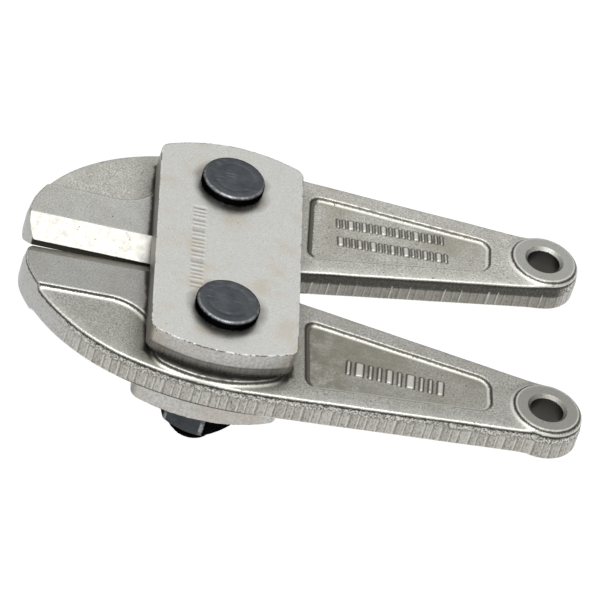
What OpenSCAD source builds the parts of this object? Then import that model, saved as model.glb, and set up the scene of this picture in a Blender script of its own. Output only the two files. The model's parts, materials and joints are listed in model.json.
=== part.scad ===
// Cutter head of a 750 mm bolt cutter.
// Two forged jaws turn on two bolts that hold them between a pair of side plates.
// +X runs from the blades to the tails, +Y to the upper jaw, +Z to the bolt heads.
// The origin is under the middle of the bounding box, at its lowest point.

/* [Pivots and stack] */
// Distance between the two pivot bolts
bolt_spacing = 56; // [54:0.5:60]
// Thickness of each side plate
plate_t = 8.4; // [6:0.1:10]
// Thickness of a jaw at its pad, blade band and tail boss
jaw_t = 11.4; // [10:0.1:14]
// Thickness of the thinner forged web of a jaw
web_t = 9; // [7:0.1:9.6]
// Running gap between a jaw and each side plate
side_gap = 0.1; // [0.05:0.05:0.3]
// Radial running clearance between a bolt and the jaw on it
bore_gap = 0.05; // [0.02:0.01:0.1]
// Opening of each jaw at rest, in degrees from fully closed
rest_open = 1.3; // [0:0.1:3]

/* [Side plates] */
// Radius of the curved ends of a side plate
plate_r = 46.5; // [44:0.5:48]
// Width of a side plate along the jaws
plate_w = 44; // [40:1:48]
// Radius of the four plate corners
plate_corner_r = 2; // [1:0.5:4]

/* [Bolts and nuts] */
// Shank diameter of the pivot bolts
bolt_d = 14; // [12:0.5:16]
// Diameter of the flat round bolt heads
head_d = 19.3; // [18:0.1:22]
// Height of the bolt heads
head_h = 3.6; // [3:0.1:5]
// Edge radius of the bolt heads
head_edge_r = 1.2; // [0.5:0.1:2]
// How far the locating flat is cut into the neck under the head
neck_flat = 1; // [0.5:0.1:1.5]
// Width across flats of the nuts
nut_af = 21; // [20:0.5:24]
// Height of the nuts
nut_h = 12.8; // [11:0.1:14]
// Radial gap that stands for the play in the screw threads
thread_gap = 0.02; // [0.01:0.01:0.05]
// Bolt length that shows past the nut
bolt_end = 5.8; // [2:0.1:8]

/* [Blades] */
// Distance from the pivot line to the front of the nose arc, before its corner is rounded
nose_x = 61.8; // [61:0.1:63]
// Width of the ground bevel, across the blade
bevel_w = 7.7; // [6:0.1:9]
// Width of the smooth band behind the cutting edge
band_w = 21.3; // [19:0.1:23]
// Gap left between each cutting edge and the middle line when closed
edge_gap = 0.05; // [0.02:0.01:0.1]
// Height of the flat land along each cutting edge
edge_land = 2; // [1:0.5:4]
// Radius that turns the nose in towards the cutting edge
nose_corner_r = 16; // [13:0.5:18]
// Distance of that radius's centre from the middle line
nose_corner_y = 9.5; // [8:0.5:11]

/* [Tails] */
// Distance from the pivot line to the tail eyes, jaws closed
eye_x = 99.7; // [95:0.1:104]
// Distance from the middle line to the tail eyes, jaws closed
eye_y = 35.7; // [35:0.1:36.5]
// Bore of the tail eyes
eye_bore_d = 10.2; // [8:0.1:12]
// Depth of the chamfer at each mouth of the bore
eye_chamfer = 0.95; // [0.5:0.05:1.2]
// Radius of the raised ring round the bore
eye_ring_r = 9.9; // [9:0.1:10.4]
// Outer radius of the eye
eye_r = 11.5; // [11:0.1:11.8]
// Slope of the inner edge of the arms, jaws closed
inner_slope = 12.8; // [12.6:0.1:13.2]
// Depth of the panel sunk into each face of the arms
panel_depth = 1.1; // [0.5:0.1:1.5]

/* [Knuckle between the jaws] */
// Radius of the round tooth on the lower jaw
tooth_r = 5; // [4:0.1:5.5]
// Clearance round the tooth in the socket of the upper jaw
tooth_gap = 0.3; // [0.2:0.05:0.5]

/* [Hidden] */
$fn = 96;

jaw_steel = [0.63, 0.62, 0.60];
plate_steel = [0.76, 0.76, 0.75];
black_oxide = [0.15, 0.16, 0.17];

// Heights of the stack, from the end of the bolts up
rear_z = bolt_end + nut_h;
jaw_z = rear_z + plate_t + side_gap;
mid_z = jaw_z + jaw_t / 2;
front_z = jaw_z + jaw_t + side_gap;
head_z = front_z + plate_t;

pivot_y = bolt_spacing / 2;
bolt_r = bolt_d / 2;
past = 1;

// Outline of the closed upper jaw: three arcs that run into each other, then a straight back
nose_arc_r = 52;
crown_arc_r = 57;
back_arc_r = 91;
nose_end = 136;
crown_end = 110;
back_end = 86.6;
nose_c = [nose_arc_r - nose_x, -4];
crown_c = nose_c + (nose_arc_r - crown_arc_r) * [cos(nose_end), sin(nose_end)];
back_c = crown_c + (crown_arc_r - back_arc_r) * [cos(crown_end), sin(crown_end)];
corner_c = [nose_c.x - sqrt(pow(nose_arc_r - nose_corner_r, 2) - pow(nose_corner_y - nose_c.y, 2)),
            nose_corner_y];
corner_start = 180 + asin((nose_corner_y - edge_gap) / nose_corner_r);
nose_start = atan2(corner_c.y - nose_c.y, corner_c.x - nose_c.x);

// Tail: where the straight back and the inner edge meet the eye
eye_c = [eye_x, eye_y];
back_n = [cos(back_end), sin(back_end)];
eye_to_back = (back_c - eye_c) * back_n + back_arc_r;
eye_start = back_end + acos(eye_to_back / eye_r);
eye_end = inner_slope - 90;
eye_tangent = eye_c + eye_r * [cos(eye_end), sin(eye_end)];

// Relief between the pivots: an arc about the pivot, just inside the rolling circle
relief_r = pivot_y - 0.5;
inner_off = (eye_tangent - [0, pivot_y]) * [cos(eye_end), sin(eye_end)];
relief_start = eye_end + acos(inner_off / relief_r);
relief_end = -102;
blade_end_x = -9;

// Raised pad round the pivot and its sweep into the blade band
pad_c = [-1, 12.4];
pad_r = 37;
pad_left = -19.5;
pad_right = 19.5;
sweep_r = 14;

// Sunk panel of the arms: corner points with their radii
panel = [[26.2, 14.4, 4], [83.2, 26.2, 4], [83.2, 40.2, 4], [26.2, 44, 4]];

// The rest pose turns each closed jaw about its bolt; the box runs from nose corner to eye
function turned(p) = let (q = p - [0, pivot_y])
    [q.x * cos(rest_open) + q.y * sin(rest_open),
     q.y * cos(rest_open) - q.x * sin(rest_open) + pivot_y];
box_left = turned(corner_c).x - nose_corner_r;
box_right = turned(eye_c).x + eye_r;
origin_x = (box_left + box_right) / 2;

// Points along an arc about c, from angle a to angle b
function arc(c, r, a, b, step = 3) =
    let (n = ceil(abs(b - a) / step))
    [for (i = [0:n]) c + r * [cos(a + (b - a) * i / n), sin(a + (b - a) * i / n)]];

// Fillet that replaces corner p, which has radius p[2], between points a and b
function fillet(a, p, b) =
    let (c = [p.x, p.y],
         u = ([a.x, a.y] - c) / norm([a.x, a.y] - c),
         v = ([b.x, b.y] - c) / norm([b.x, b.y] - c),
         half = acos(u * v) / 2,
         m = c + p[2] / sin(half) * (u + v) / norm(u + v),
         s = c + p[2] / tan(half) * u - m,
         turn = sign(u.x * v.y - u.y * v.x) * (180 - 2 * half))
    arc(m, p[2], atan2(s.y, s.x), atan2(s.y, s.x) - turn, 6);

// Polygon through corner points [x, y, radius]
function rounded(pts) = let (n = len(pts))
    [for (i = [0:n - 1]) each fillet(pts[(i + n - 1) % n], pts[i], pts[(i + 1) % n])];

function jaw_outline() = concat(
    arc(corner_c, nose_corner_r, corner_start, nose_start, 6),
    arc(nose_c, nose_arc_r, nose_start, nose_end),
    arc(crown_c, crown_arc_r, nose_end, crown_end),
    arc(back_c, back_arc_r, crown_end, back_end),
    arc(eye_c, eye_r, eye_start, eye_end, 6),
    arc([0, pivot_y], relief_r, relief_start, relief_end),
    [[blade_end_x, edge_gap]]);

// Area of the jaw that is left at full thickness
module raised_area() {
    intersection() {
        translate(pad_c) circle(pad_r);
        translate([pad_left, 0]) square([pad_right - pad_left, pad_c.y + pad_r]);
    }
    translate([-nose_x, 0]) square([nose_x + pad_left + past, band_w]);
    difference() {
        translate([pad_left - sweep_r, band_w - past]) square(sweep_r + past);
        translate([pad_left - sweep_r, band_w + sweep_r]) circle(sweep_r);
    }
}

module bore(r, h) {
    translate([0, 0, -h / 2 - past]) cylinder(r = r, h = h + 2 * past);
}

// Ground bevel on one face of the blade
module bevel_cut() {
    translate([blade_end_x, 0, 0]) rotate([90, 0, -90])
        linear_extrude(nose_x)
            polygon([[-bevel_w, jaw_t / 2], [-bevel_w, jaw_t], [past, jaw_t],
                     [past, edge_land / 2], [-edge_gap, edge_land / 2]]);
}

// Chamfer at the upper mouth of the tail bore
module eye_mouth() {
    translate([0, 0, jaw_t / 2 - eye_chamfer])
        cylinder(r1 = eye_bore_d / 2, r2 = eye_bore_d / 2 + 2 * eye_chamfer, h = 2 * eye_chamfer);
}

// Both faces of a jaw are the same
module both_faces() {
    children();
    mirror([0, 0, 1]) children();
}

// Closed upper jaw about the middle plane of its thickness, before the knuckle is cut
module jaw_blank() {
    difference() {
        union() {
            linear_extrude(web_t, center = true) polygon(jaw_outline());
            linear_extrude(jaw_t, center = true) intersection() {
                polygon(jaw_outline());
                raised_area();
            }
            translate(eye_c) cylinder(r = eye_ring_r, h = jaw_t, center = true);
        }
        translate([0, pivot_y]) bore(bolt_r + bore_gap, jaw_t);
        translate(eye_c) bore(eye_bore_d / 2, jaw_t);
        both_faces() {
            bevel_cut();
            translate(eye_c) eye_mouth();
            translate([0, 0, web_t / 2 - panel_depth]) linear_extrude(jaw_t) polygon(rounded(panel));
        }
    }
}

// Carries a closed upper jaw to its rest pose in the head
module at_rest() {
    translate([-origin_x, pivot_y, mid_z]) rotate(-rest_open) translate([0, -pivot_y, 0]) children();
}

module upper_jaw() {
    color(jaw_steel) at_rest() difference() {
        jaw_blank();
        bore(tooth_r + tooth_gap, jaw_t);
    }
}

module lower_jaw() {
    color(jaw_steel) mirror([0, 1, 0]) at_rest() {
        jaw_blank();
        cylinder(r = tooth_r, h = jaw_t, center = true);
    }
}

// Half outline of a side plate corner: the straight side rounds into the curved end
module plate_outline() {
    side = plate_w / 2;
    c = [side - plate_corner_r, sqrt(pow(plate_r - plate_corner_r, 2) - pow(side - plate_corner_r, 2))];
    end = atan2(c.y, c.x);
    top = concat(arc(c, plate_corner_r, 0, end, 6), arc([0, 0], plate_r, end, 180 - end),
                 arc([-c.x, c.y], plate_corner_r, 180 - end, 180, 6));
    polygon(concat(top, -top));
}

// Round section of a bolt neck with its locating flat on the side of the middle line
module neck_section(r) {
    intersection() {
        circle(r);
        translate([-r, neck_flat - bolt_r]) square([2 * r, 2 * r]);
    }
}

// Places children on the bolt line of the upper or the lower pivot
module at_pivot(side) {
    translate([-origin_x, side * pivot_y, 0]) mirror([0, side < 0 ? 1 : 0, 0]) children();
}

module front_side_plate() {
    color(plate_steel) difference() {
        translate([-origin_x, 0, front_z]) linear_extrude(plate_t) plate_outline();
        for (side = [-1, 1])
            at_pivot(side) translate([0, 0, front_z - past]) linear_extrude(plate_t + 2 * past)
                neck_section(bolt_r + bore_gap);
    }
}

module rear_side_plate() {
    color(plate_steel) difference() {
        translate([-origin_x, 0, rear_z]) linear_extrude(plate_t) plate_outline();
        for (side = [-1, 1])
            at_pivot(side) translate([0, 0, rear_z - past])
                cylinder(r = bolt_r + bore_gap, h = plate_t + 2 * past);
    }
}

// Head with a rounded edge on a shank that ends in a chamfer
module pivot_bolt(side) {
    edge = head_d / 2 - head_edge_r;
    tip = 1;
    color(black_oxide) at_pivot(side) {
        translate([0, 0, head_z]) rotate_extrude() {
            square([edge, head_h]);
            square([head_d / 2, head_h - head_edge_r]);
            translate([edge, head_h - head_edge_r]) intersection() {
                circle(head_edge_r);
                square(head_edge_r);
            }
        }
        translate([0, 0, front_z]) linear_extrude(plate_t) neck_section(bolt_r);
        translate([0, 0, tip]) cylinder(r = bolt_r, h = front_z - tip);
        cylinder(r1 = bolt_r - tip, r2 = bolt_r, h = tip);
    }
}

// Hexagon nut whose corners are turned back by a shallow cone at both faces
module pivot_nut(side, turn) {
    face_r = nut_af / 2 * 0.97;
    flare = nut_af / sqrt(3) - face_r + past;
    drop = flare * tan(30);
    color(black_oxide) at_pivot(side) translate([0, 0, bolt_end]) difference() {
        intersection() {
            rotate(turn) cylinder(d = nut_af / cos(30), h = nut_h, $fn = 6);
            rotate_extrude() polygon([[0, 0], [face_r, 0], [face_r + flare, drop],
                                      [face_r + flare, nut_h - drop], [face_r, nut_h], [0, nut_h]]);
        }
        translate([0, 0, -past]) cylinder(r = bolt_r + thread_gap, h = nut_h + 2 * past);
    }
}

module upper_pivot_bolt() {
    pivot_bolt(1);
}

module lower_pivot_bolt() {
    pivot_bolt(-1);
}

module upper_pivot_nut() {
    pivot_nut(1, 20);
}

module lower_pivot_nut() {
    pivot_nut(-1, 22);
}

front_side_plate();
rear_side_plate();
upper_jaw();
lower_jaw();
upper_pivot_bolt();
lower_pivot_bolt();
upper_pivot_nut();
lower_pivot_nut();
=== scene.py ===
import itertools
import json
import math

import bpy
import numpy as np
from mathutils import Matrix, Vector


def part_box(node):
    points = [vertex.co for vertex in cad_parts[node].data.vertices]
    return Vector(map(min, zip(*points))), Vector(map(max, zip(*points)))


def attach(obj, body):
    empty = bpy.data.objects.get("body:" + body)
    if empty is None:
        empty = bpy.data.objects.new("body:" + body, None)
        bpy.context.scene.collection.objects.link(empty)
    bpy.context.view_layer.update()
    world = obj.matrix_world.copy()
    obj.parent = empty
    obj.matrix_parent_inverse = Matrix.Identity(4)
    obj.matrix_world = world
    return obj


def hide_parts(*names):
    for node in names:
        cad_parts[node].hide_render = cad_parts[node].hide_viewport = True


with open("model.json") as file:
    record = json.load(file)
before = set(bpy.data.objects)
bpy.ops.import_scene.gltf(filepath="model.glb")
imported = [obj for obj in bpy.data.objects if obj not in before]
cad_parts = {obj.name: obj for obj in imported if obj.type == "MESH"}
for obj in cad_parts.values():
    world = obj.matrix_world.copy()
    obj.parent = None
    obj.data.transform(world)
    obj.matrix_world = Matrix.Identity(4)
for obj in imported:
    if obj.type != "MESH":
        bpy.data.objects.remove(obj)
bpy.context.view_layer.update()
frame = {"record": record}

# Lengths are in millimetres until a mesh is made. A jaw is described as the closed upper jaw:
# x from the pivot line towards the tail, y from the middle line, z from the jaw's middle plane.
MM = 0.001


def box_mm(node):
    lo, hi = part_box(node)
    return np.array(lo) / MM, np.array(hi) / MM


# ---------------------------------------------------------------- sizes from the frame
FRONT_LO, FRONT_HI = box_mm("front_side_plate")
REAR_HI = box_mm("rear_side_plate")[1]
BOLT_LO, BOLT_HI = box_mm("upper_pivot_bolt")
NUT_LO, NUT_HI = box_mm("upper_pivot_nut")
JOINTS = {j["name"]: j for j in frame["record"]["behaviour"]["joints"]}
PIVOT = np.array(JOINTS["upper_jaw_pivot"]["pos_m"]) / MM
REST_OPEN = -JOINTS["upper_jaw_pivot"]["range_deg"][0]
PIVOT_X, PIVOT_Y, MID_Z = PIVOT
JAW_PLAY = 0.2
JAW_T = FRONT_LO[2] - REAR_HI[2] - JAW_PLAY

# ---------------------------------------------------------------- sizes of the jaws
WEB_T = 9
EDGE_GAP, EDGE_LAND = 0.05, 2
NOSE_C, NOSE_R, NOSE_END = np.array([-9.8, -4]), 52, 136
CROWN_R, CROWN_END = 57, 110
BACK_R, BACK_END = 91, 86.6
CORNER_R, CORNER_Y = 16, 9.5
EYE_C, EYE_R, EYE_END = np.array([99.7, 35.7]), 11.5, -77.2
RELIEF_R, RELIEF_END = 27.5, -102
BLADE_END_X = -9
BEVEL_W = 7.7
BAND_W = 21.3
PAD_C, PAD_R = np.array([-1, 12.4]), 37
PAD_LEFT, PAD_RIGHT = -19.5, 19.5
PAD_CORNER_R = 3
SWEEP_R = 14
STEP_WALL = 1.7
RING_R, RING_WALL = 9.9, 3
BORE_R, BORE_CHAMFER = 5.1, 0.95
PIVOT_BORE_R = 7.05
TOOTH_R, SOCKET_R = 5, 5.3
PANEL = [(26.2, 14.4), (83.2, 26.2), (83.2, 40.2), (26.2, 44)]
PANEL_R, PANEL_DEPTH, PANEL_WALL = 4, 1.1, 1.5

# Flank of the forging: the trimmed band stands proud and each half of the wall is drafted
TRIM_INSET = 0.15
TRIM_TOP, TRIM_BOTTOM = 1.5, -3.9
DRAFT_UP, DRAFT_DOWN = math.tan(math.radians(7)), math.tan(math.radians(8))
RIM_R = 0.55
RIM_ROLL, RIM_ROLL_W = 0.2, 3.5
BAR_PITCH, BAR_DEPTH = 2.8, 0.10
BAR_SWAY, BAR_SWAY_RATE = 0.12, 0.9
BARS_START, BARS_FULL = -50, -38

# Plates
PLATE_R, PLATE_HALF_W, PLATE_CORNER_R = 46.5, 22, 2
PLATE_T = FRONT_HI[2] - FRONT_LO[2]
TORN_SHARE, TORN_DEPTH = 0.35, 0.12

# Bolts and nuts
BOLT_R, HEAD_R = 7, 9.65
HEAD_EDGE_R = 1.2
NECK_FLAT = 6
THREAD_PITCH, THREAD_DEPTH, THREAD_END = 2, 0.9, 14
NUT_FLAT = 10.5
NUT_FACE_R = 10.2
NUT_TURN = {"upper": 20, "lower": 22}
# Lightness given to each of the nut's six faces: painted light and shade that sets one face apart from
# the next
NUT_FACE_LIGHT = (0.1, 0.2, 0.05, 0.25, 0.5, 0.02)

# Meshing grids, and the flat grid of the jaw's maps
JAW_STEP, PLATE_STEP = 0.3, 0.4
JAW_GRID_LO, JAW_GRID_HI = (-60.5, -6.5, -6.2), (112, 58.5, 6.2)
JAW_FACES, PLATE_FACES = 170_000, 60_000
MAP_STEP = 0.25
MAP_X = np.arange(-63, 114, MAP_STEP)
MAP_Y = np.arange(-3, 62, MAP_STEP)


# ---------------------------------------------------------------- plane geometry
def unit(angle):
    a = math.radians(angle)
    return np.array([math.cos(a), math.sin(a)])


def angle_of(v):
    return math.degrees(math.atan2(v[1], v[0]))


def arc(centre, radius, start, end, step=2):
    a = np.radians(np.linspace(start, end, math.ceil(abs(end - start) / step) + 1))
    return np.asarray(centre) + radius * np.stack((np.cos(a), np.sin(a)), axis=1)


def round_max(a, b, radius):
    """Larger of two distances, with the edge between them rounded."""
    inner = np.minimum(np.maximum(a, b) + radius, 0)
    return np.hypot(np.maximum(a + radius, 0), np.maximum(b + radius, 0)) + inner - radius


def ramp(value, start, end):
    return np.clip((value - start) / (end - start), 0, 1)


def fillet_fall(u):
    """Falls from 1 to 0 like a concave fillet: steep at u = 0 and level at u = 1."""
    return 1 - np.sqrt(1 - (1 - np.clip(u, 0, 1)) ** 2)


def jaw_outline():
    """The closed upper jaw's outline, as in the part's source: a chain of arcs."""
    crown_c = NOSE_C + (NOSE_R - CROWN_R) * unit(NOSE_END)
    back_c = crown_c + (CROWN_R - BACK_R) * unit(CROWN_END)
    reach = NOSE_R - CORNER_R
    corner_c = np.array([NOSE_C[0] - math.sqrt(reach**2 - (CORNER_Y - NOSE_C[1]) ** 2), CORNER_Y])
    corner_start = 180 + math.degrees(math.asin((CORNER_Y - EDGE_GAP) / CORNER_R))
    nose_start = angle_of(corner_c - NOSE_C)
    eye_start = BACK_END + math.degrees(math.acos(((back_c - EYE_C) @ unit(BACK_END) + BACK_R) / EYE_R))
    pivot = np.array([0, PIVOT_Y])
    inner_off = (EYE_C + EYE_R * unit(EYE_END) - pivot) @ unit(EYE_END)
    relief_start = EYE_END + math.degrees(math.acos(inner_off / RELIEF_R))
    return np.concatenate((
        arc(corner_c, CORNER_R, corner_start, nose_start, 4),
        arc(NOSE_C, NOSE_R, nose_start, NOSE_END),
        arc(crown_c, CROWN_R, NOSE_END, CROWN_END),
        arc(back_c, BACK_R, CROWN_END, BACK_END),
        arc(EYE_C, EYE_R, eye_start, EYE_END, 4),
        arc(pivot, RELIEF_R, relief_start, RELIEF_END, 4),
        [[BLADE_END_X, EDGE_GAP]],
    ))


def outline_maps(points):
    """Signed distance to a closed outline, and the length along it, at each point of the map grid."""
    x, y = np.meshgrid(MAP_X, MAP_Y, indexing="ij")
    best = np.full(x.shape, np.inf)
    along = np.zeros(x.shape)
    inside = np.zeros(x.shape, bool)
    run = 0
    for a, b in zip(points, np.roll(points, -1, axis=0)):
        edge = b - a
        length = np.hypot(*edge)
        if length == 0:
            continue
        t = np.clip(((x - a[0]) * edge[0] + (y - a[1]) * edge[1]) / length**2, 0, 1)
        gap = np.hypot(x - a[0] - t * edge[0], y - a[1] - t * edge[1])
        nearer = gap < best
        best[nearer] = gap[nearer]
        along[nearer] = run + t[nearer] * length
        if a[1] != b[1]:
            inside ^= ((y < a[1]) != (y < b[1])) & (x < a[0] + (y - a[1]) * edge[0] / edge[1])
        run += length
    return np.where(inside, -best, best), along


def polygon_distance(x, y, corners, radius):
    """Distance to a convex polygon with rounded corners, negative inside; corners run anticlockwise."""
    distance = None
    for a, b in zip(corners, corners[1:] + corners[:1]):
        normal = np.array([b[1] - a[1], a[0] - b[0]]) / math.hypot(b[0] - a[0], b[1] - a[1])
        side = (x - a[0]) * normal[0] + (y - a[1]) * normal[1]
        distance = side if distance is None else round_max(distance, side, radius)
    return distance


def raised_distance(x, y):
    """Distance to the full-thickness area: the pad, the blade band and the sweep between them."""
    round_end = np.hypot(x - PAD_C[0], y - PAD_C[1]) - PAD_R
    pad = round_max(round_end, np.maximum(PAD_LEFT - x, x - PAD_RIGHT), PAD_CORNER_R)
    band = np.maximum(y - BAND_W, x - PAD_LEFT)
    hollow = SWEEP_R - np.hypot(x - PAD_LEFT + SWEEP_R, y - BAND_W - SWEEP_R)
    sweep = np.maximum.reduce([hollow, PAD_LEFT - SWEEP_R - x, y - BAND_W - SWEEP_R, x - PAD_LEFT])
    return np.minimum.reduce([pad, band, sweep])


def bars_distance(x, y, bars):
    """Distance to small rounded bars, each (centre x, centre y, half width, half height, tilt)."""
    distance = np.full(np.broadcast(x, y).shape, 99.0)
    for cx, cy, half_w, half_h, tilt in bars:
        c, s = unit(tilt)
        u = np.abs((x - cx) * c + (y - cy) * s) - half_w
        v = np.abs((y - cy) * c - (x - cx) * s) - half_h
        distance = np.minimum(distance, round_max(u, v, 0.4))
    return distance


def bar_row(start, end, centre, rise, half_h, widths, gap):
    """A row of upright bars from x = start to end whose middle line climbs by rise."""
    bars, x = [], start
    tilt = math.degrees(math.atan2(rise, end - start))
    for w in itertools.cycle(widths):
        if x + w > end:
            return bars
        share = (x - start) / (end - start)
        bars.append((x + w / 2, centre + rise * share, w / 2, half_h, tilt))
        x += w + gap


# Plain raised bars stand where a maker would put a marking
JAW_MARKS = {
    "upper": bar_row(35, 68.3, 34.3, 2.5, 2.0, (0.8, 0.8, 1.6, 0.8, 1.2), 1.0)
    + bar_row(35.7, 69.7, 26.2, 2.6, 2.0, (1.6, 0.8, 0.8, 1.2, 0.8), 1.0),
    "lower": bar_row(39, 68.5, 31.6, 2.0, 3.0, (1.1, 2.4, 1.1, 1.1, 1.8), 1.6),
}
MARK_H, MARK_WALL = 0.55, 0.5


def web_undulation(x, y):
    """The slight unevenness of a forged surface."""
    across = np.sin(x / 5.1 + 1.3 * np.sin(y / 7.3))
    upward = np.sin(y / 4.3 + 1.7 * np.sin(x / 9.1))
    return 0.02 * (across + upward + np.sin((x + y) / 3.1))


def soften(grid, times=1):
    for _ in range(times):
        p = np.pad(grid, 1, mode="edge")
        grid = (p[:-2, 1:-1] + 2 * p[1:-1, 1:-1] + p[2:, 1:-1]) / 4
        p = np.pad(grid, 1, mode="edge")
        grid = (p[1:-1, :-2] + 2 * p[1:-1, 1:-1] + p[1:-1, 2:]) / 4
    return grid


def face_height(outline, x, y, marks):
    """Height of a jaw's face above its middle plane."""
    web = WEB_T / 2 + web_undulation(x, y)
    web = web - RIM_ROLL * ramp(outline, -RIM_ROLL_W, -0.5) ** 2
    panel = polygon_distance(x, y, PANEL, PANEL_R)
    web = web - PANEL_DEPTH * (1 - fillet_fall(-panel / PANEL_WALL)) * (panel < 0)
    if marks:
        web = web + MARK_H * ramp(-bars_distance(x, y, marks), -MARK_WALL / 2, MARK_WALL / 2)
    step = JAW_T / 2 - web
    raised = web + step * fillet_fall(raised_distance(x, y) / STEP_WALL)
    ring = web + step * fillet_fall((np.hypot(x - EYE_C[0], y - EYE_C[1]) - RING_R) / RING_WALL)
    return soften(np.maximum(raised, ring))


def jaw_maps(side):
    x, y = np.meshgrid(MAP_X, MAP_Y, indexing="ij")
    outline, along = OUTLINE_MAPS
    front = face_height(outline, x, y, JAW_MARKS[side])
    back = face_height(outline, x, y, None)
    return np.stack((outline, along, front, back), axis=-1)


def look_up(maps, x, y):
    """Values of the maps at any points, by bilinear interpolation."""
    u = np.clip((x - MAP_X[0]) / MAP_STEP, 0, len(MAP_X) - 1.001)
    v = np.clip((y - MAP_Y[0]) / MAP_STEP, 0, len(MAP_Y) - 1.001)
    u, v = np.broadcast_arrays(u, v)
    i, j = u.astype(int), v.astype(int)
    fu, fv = (u - i)[..., None], (v - j)[..., None]
    low = maps[i, j] * (1 - fu) + maps[i + 1, j] * fu
    high = maps[i, j + 1] * (1 - fu) + maps[i + 1, j + 1] * fu
    return np.moveaxis(low * (1 - fv) + high * fv, -1, 0)


# ---------------------------------------------------------------- trimming marks
def bar_phase(along):
    """Counts the upright bars of a trimmed flank; the material counts them the same way."""
    return along / BAR_PITCH + BAR_SWAY * np.sin(along * BAR_SWAY_RATE)


def flank_inset(x, z, along, seed):
    """How far the wall of a jaw stands inside its outline."""
    drafted = DRAFT_UP * np.maximum(z - TRIM_TOP, 0) + DRAFT_DOWN * np.maximum(TRIM_BOTTOM - z, 0)
    trimmed = ramp(z, TRIM_TOP, TRIM_TOP - 0.5) * ramp(z, TRIM_BOTTOM, TRIM_BOTTOM + 0.5)
    trimmed = trimmed * ramp(x, BARS_START, BARS_FULL)
    phase = bar_phase(along)
    depths = np.random.default_rng(seed).uniform(0.1, 1, 400)
    bar = depths[np.clip(phase.astype(int), 0, 399)] + 0.4 * (phase % 1 - 0.5)
    lip = 0.12 * ramp(z, TRIM_TOP - 0.4, TRIM_TOP + 0.1)
    return TRIM_INSET + drafted + lip + trimmed * BAR_DEPTH * bar


# ---------------------------------------------------------------- fields
def jaw_field(side):
    """Signed distance, negative inside, to a closed jaw; the lower jaw is its own mirror image here."""
    maps = jaw_maps(side)
    seed = 3 if side == "upper" else 8

    def field(x, y, z):
        outline, along, front, back = look_up(maps, x, y)
        height = np.abs(z)
        wall = outline + flank_inset(x, z, along, seed)
        body = round_max(wall, height - np.where(z > 0, front, back), RIM_R)
        slope = np.array([(EDGE_LAND - JAW_T) / 2, BEVEL_W - EDGE_GAP])
        slope = slope / np.hypot(*slope)
        bevel = (y - BEVEL_W) * slope[0] + (height - JAW_T / 2) * slope[1]
        body = np.maximum(body, np.minimum(bevel, BLADE_END_X - x))
        body = np.maximum(body, PIVOT_BORE_R - np.hypot(x, y - PIVOT_Y))
        mouth = BORE_R + np.maximum(height - JAW_T / 2 + BORE_CHAMFER, 0)
        body = np.maximum(body, mouth - np.hypot(x - EYE_C[0], y - EYE_C[1]))
        middle = np.hypot(x, y)
        if side == "upper":
            return np.maximum(body, SOCKET_R - middle)
        return np.minimum(body, np.maximum(middle - TOOTH_R, height - JAW_T / 2))

    field.maps = maps
    return field


PLATE_MARKS = bar_row(-20.5, 17, 0, 0, 1.9, (0.6, 1.4, 0.6, 0.6, 1.0, 0.6, 2.2), 1.0)
PLATE_MARK_X, PLATE_MARK_DEPTH = -9.3, 0.15


def plate_field(front):
    """Signed distance to a side plate from its middle; z runs outwards from its inner face."""
    shear_end = PLATE_T * TORN_SHARE

    def inset(z):
        return 0.02 + (TORN_DEPTH * ramp(z, shear_end + 0.2, shear_end - 0.2) if front else 0.0)

    def field(x, y, z):
        outline = round_max(np.abs(x) - PLATE_HALF_W, np.hypot(x, y) - PLATE_R, PLATE_CORNER_R)
        top = z - PLATE_T
        if front:
            mark = bars_distance(y, PLATE_MARK_X - x, PLATE_MARKS)
            top = top + PLATE_MARK_DEPTH * ramp(-mark, -0.3, 0.3)
        body = round_max(outline + inset(z), top, 0.25 if front else 0.5)
        body = np.maximum(body, -z)
        across = np.abs(y) - PIVOT_Y
        hole = PIVOT_BORE_R - np.hypot(x, across)
        if front:
            hole = np.minimum(hole, across + NECK_FLAT)
        return np.maximum(body, hole)

    return field


# ---------------------------------------------------------------- meshing
def surface_normals(field, points, reach=0.04):
    grad = np.empty_like(points)
    for k in range(3):
        ahead, behind = points.copy(), points.copy()
        ahead[:, k] += reach
        behind[:, k] -= reach
        grad[:, k] = field(*ahead.T) - field(*behind.T)
    return grad / np.maximum(np.linalg.norm(grad, axis=1, keepdims=True), 1e-9)


def edge_crossings(field, axes, values, axis, step):
    """Grid edges along one axis that the surface crosses: indices, crossing points, direction."""
    low = np.take(values, range(values.shape[axis] - 1), axis)
    high = np.take(values, range(1, values.shape[axis]), axis)
    index = np.argwhere((low < 0) != (high < 0))
    a, b = low[tuple(index.T)], high[tuple(index.T)]
    start = np.stack([axes[k][index[:, k]] for k in range(3)], axis=1)
    t0, t1, f0, f1 = np.zeros(len(a)), np.ones(len(a)), a.copy(), b.copy()
    for _ in range(3):
        t = t0 + (t1 - t0) * np.clip(f0 / (f0 - f1), 0.05, 0.95)
        points = start.copy()
        points[:, axis] += t * step
        f = field(*points.T)
        same = (f < 0) == (f0 < 0)
        t0, f0 = np.where(same, t, t0), np.where(same, f, f0)
        t1, f1 = np.where(same, t1, t), np.where(same, f1, f)
    points = start.copy()
    points[:, axis] += (t0 + (t1 - t0) * np.clip(f0 / (f0 - f1), 0, 1)) * step
    return index, points, a < 0


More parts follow.
